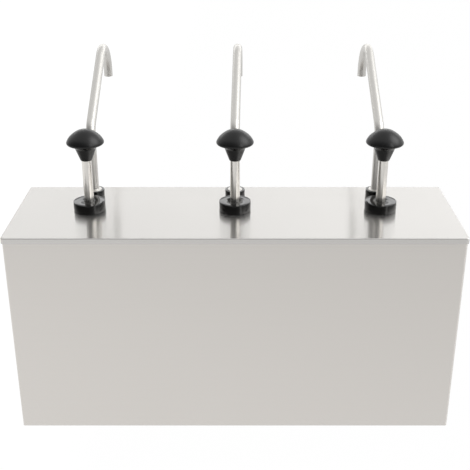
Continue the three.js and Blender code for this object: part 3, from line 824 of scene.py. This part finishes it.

# Painted light: reflections see the floor's glow a little brighter on the left, and dimmer towards the
# camera, as if the studio light fell off there
FLOOR_ACROSS = {"From Min": -0.5, "From Max": 0.5, "To Min": 1.05, "To Max": 0.9}
FLOOR_ALONG = {"From Min": -1.5, "From Max": -0.5, "To Min": 0.8, "To Max": 1.0}

# The sky glows above and behind the object, a key glow on the right adds to it, and the right half is
# brighter than the left. A reach is the dot product with its way, at the edge and where it is full.
BACK_WAY = (0.4, 0.9, 0.85)
BACK_REACH = (-0.3, 0.5)
BACK_BRIGHTNESS = (0.25, 0.98)
KEY_WAY = (0.72, -0.02, 0.69)
KEY_REACH = (0.875, 0.985)
KEY_BRIGHTNESS = (0.0, 2.8)
SKY_ACROSS = {"From Min": -0.2, "From Max": 0.5, "To Min": 0.96, "To Max": 1.135}
SMOOTH = {"interpolation_type": "SMOOTHSTEP"}


def seen_directly(material):
    """1 where the camera, a reflection or a view through glass sees the surface"""
    path = add_node(material, "ShaderNodeLightPath")
    camera_or_gloss = add_node(
        material, "ShaderNodeMath", settings={"operation": "MAXIMUM"},
        links={0: (path, "Is Camera Ray"), 1: (path, "Is Glossy Ray")})
    return add_node(
        material, "ShaderNodeMath", settings={"operation": "MAXIMUM"},
        links={0: (camera_or_gloss, "Value"), 1: (path, "Is Transmission Ray")})


def white_to_camera(material, strength, output):
    """The strength given, but pure white where the camera looks straight at it"""
    path = add_node(material, "ShaderNodeLightPath")
    return add_node(
        material, "ShaderNodeMath", settings={"operation": "MAXIMUM"},
        links={0: (path, "Is Camera Ray"), 1: (strength, output)})


def add_floor():
    """White paper that lights the object as paper does, and looks evenly white to the camera. Its glow in
    reflections is painted light, brighter on the left and dimmer towards the camera
    """
    bpy.ops.object.select_all(action="DESELECT")
    bpy.ops.mesh.primitive_plane_add(size=FLOOR_SIZE, location=(0, 0, -FLOOR_DROP))
    floor = bpy.context.object
    floor.name = "studio_floor"
    material = new_material("white_floor")
    seen = seen_directly(material)
    place = add_node(material, "ShaderNodeTexCoord")
    spot = add_node(material, "ShaderNodeSeparateXYZ", links={"Vector": (place, "Object")})
    # Painted light: the glow that reflections see grows brighter to the left and dims towards the camera
    across = add_node(material, "ShaderNodeMapRange", inputs=FLOOR_ACROSS, links={"Value": (spot, "X")})
    along = add_node(
        material, "ShaderNodeMapRange", settings=SMOOTH, inputs=FLOOR_ALONG, links={"Value": (spot, "Y")})
    falloff = add_node(
        material, "ShaderNodeMath", settings={"operation": "MULTIPLY"},
        links={0: (across, "Result"), 1: (along, "Result")})
    strength = white_to_camera(material, falloff, "Value")
    white = add_node(
        material, "ShaderNodeEmission", inputs={"Color": (1, 1, 1, 1)},
        links={"Strength": (strength, "Value")})
    paper = add_node(material, "ShaderNodeBsdfDiffuse", inputs={"Color": linear("#e4e4e4")})
    share = add_node(
        material, "ShaderNodeMath", settings={"operation": "MULTIPLY"}, inputs={1: FLOOR_GLOW},
        links={0: (seen, "Value")})
    mixed = add_node(
        material, "ShaderNodeMixShader",
        links={"Fac": (share, "Value"), 1: (paper, "BSDF"), 2: (white, "Emission")})
    add_node(material, "ShaderNodeOutputMaterial", links={"Surface": (mixed, "Shader")})
    floor.data.materials.append(material)


def sky_part(world, place, way, reach, brightness):
    """A stretch of the sky around way: reach is the dot product with way, at its edge and where it is full"""
    lean = add_node(
        world, "ShaderNodeVectorMath", settings={"operation": "DOT_PRODUCT"}, inputs={1: way},
        links={0: (place, "Generated")})
    return add_node(
        world, "ShaderNodeMapRange", settings=SMOOTH,
        inputs={"From Min": reach[0], "From Max": reach[1], "To Min": brightness[0], "To Max": brightness[1]},
        links={"Value": (lean, "Value")})


def add_sky():
    """A studio that is brightest behind the object and to its right, and dimmer behind the camera"""
    world = bpy.data.worlds.new("studio")
    bpy.context.scene.world = world
    world.use_nodes = True
    world.node_tree.nodes.clear()
    place = add_node(world, "ShaderNodeTexCoord")
    back = sky_part(world, place, BACK_WAY, BACK_REACH, BACK_BRIGHTNESS)
    key = sky_part(world, place, KEY_WAY, KEY_REACH, KEY_BRIGHTNESS)
    toward = add_node(world, "ShaderNodeSeparateXYZ", links={"Vector": (place, "Generated")})
    across = add_node(
        world, "ShaderNodeMapRange", settings=SMOOTH, inputs=SKY_ACROSS, links={"Value": (toward, "X")})
    even = add_node(
        world, "ShaderNodeMath", settings={"operation": "MULTIPLY"},
        links={0: (back, "Result"), 1: (across, "Result")})
    strength = add_node(
        world, "ShaderNodeMath", settings={"operation": "ADD"},
        links={0: (even, "Value"), 1: (key, "Result")})
    seen = white_to_camera(world, strength, "Value")
    sky = add_node(
        world, "ShaderNodeBackground", inputs={"Color": (1, 1, 1, 1)}, links={"Strength": (seen, "Value")})
    add_node(world, "ShaderNodeOutputWorld", links={"Surface": (sky, "Background")})


def add_soft_box(name, place, aim, width, height, brightness):
    """A soft box that faces aim; brightness is how bright its face looks in a mirror"""
    bpy.ops.object.light_add(type="AREA", location=place)
    lamp = bpy.context.object
    lamp.name = name
    lamp.data.shape = "RECTANGLE"
    lamp.data.size = width
    lamp.data.size_y = height
    lamp.data.energy = brightness * math.pi * width * height
    lamp.visible_camera = False
    toward = [b - a for a, b in zip(place, aim)]
    flat = math.hypot(toward[0], toward[1])
    lamp.rotation_euler = (math.atan2(flat, -toward[2]), 0, math.atan2(-toward[0], toward[1]))


add_floor()
add_sky()
add_soft_box("back_strip", place=(0, 1.9, 1.08), aim=(0, 0, 0.27), width=3.2, height=0.34, brightness=1.6)
add_soft_box(
    "front_strip", place=(1.33, -1.35, 1.25), aim=(0, 0, 0.3), width=0.4, height=1.2, brightness=3.2)

bpy.context.scene.view_settings.view_transform = "Standard"
